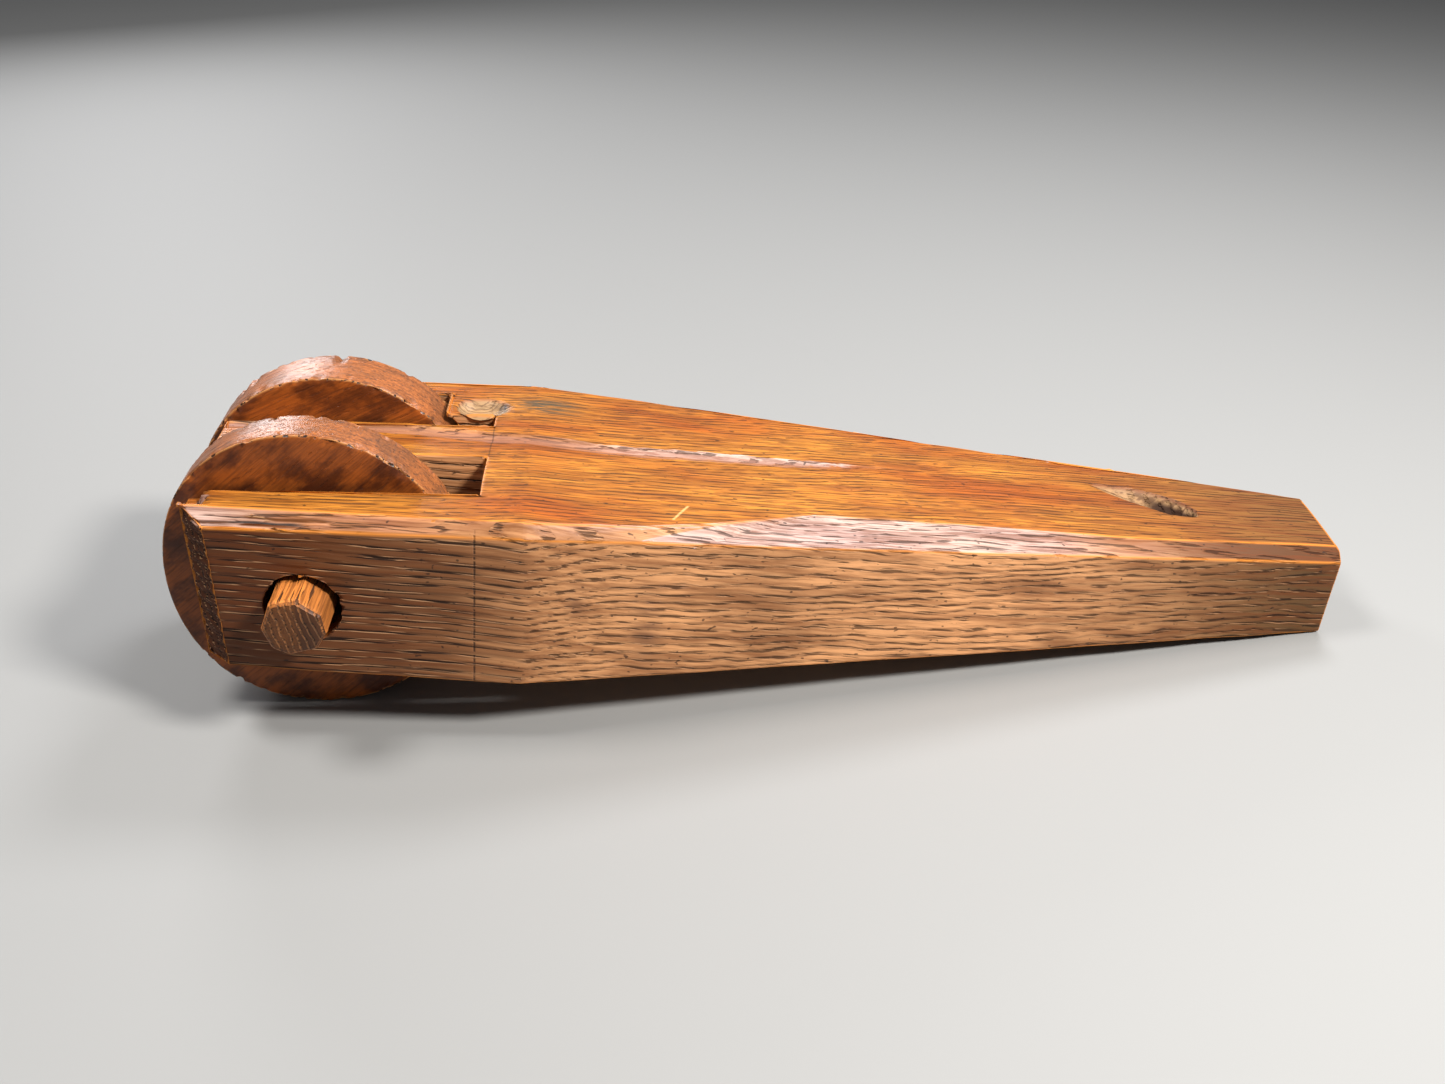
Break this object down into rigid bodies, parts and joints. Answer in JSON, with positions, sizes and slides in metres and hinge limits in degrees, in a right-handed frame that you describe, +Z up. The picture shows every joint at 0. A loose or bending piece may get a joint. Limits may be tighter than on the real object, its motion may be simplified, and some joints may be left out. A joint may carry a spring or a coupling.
{
  "type": "wheeled wooden beam",
  "caption": "Tapered hand-hewn wooden beam with a solid wooden wheel in each of two slots at its wide end, both on one loose wooden axle.",
  "frame": {"origin": "under the middle of the part's box, on the ground it stands on", "axes": "+X along the beam from the wheels to the tip, +Y along the axle away from the near side, +Z up"},
  "size_m": [0.3866, 0.1216, 0.0936],
  "materials": {
    "oiled_oak": "oiled, worn smooth",
    "red_brown_oak": "oiled, worn smooth",
    "dark_oak": "oiled, worn smooth",
    "whittled_oak": "oiled, whittled"
  },
  "bodies": {
    "beam": {"beam": "oiled_oak"},
    "front_wheel": {"front_wheel": "red_brown_oak"},
    "rear_wheel": {"rear_wheel": "dark_oak"},
    "axle": {"axle": "whittled_oak"}
  },
  "joints": [
    {"name": "front_wheel_spin", "type": "hinge", "parent": "beam", "child": "front_wheel", "pos_m": [-0.14651, -0.02275, 0.0468], "axis": [0, 1, 0], "continuous": true},
    {"name": "rear_wheel_spin", "type": "hinge", "parent": "beam", "child": "rear_wheel", "pos_m": [-0.14651, 0.02765, 0.0456], "axis": [0, 1, 0], "continuous": true},
    {"name": "axle_spin", "type": "hinge", "parent": "beam", "child": "axle", "pos_m": [-0.14551, 0, 0.0469], "axis": [0, 1, 0], "continuous": true}
  ]
}
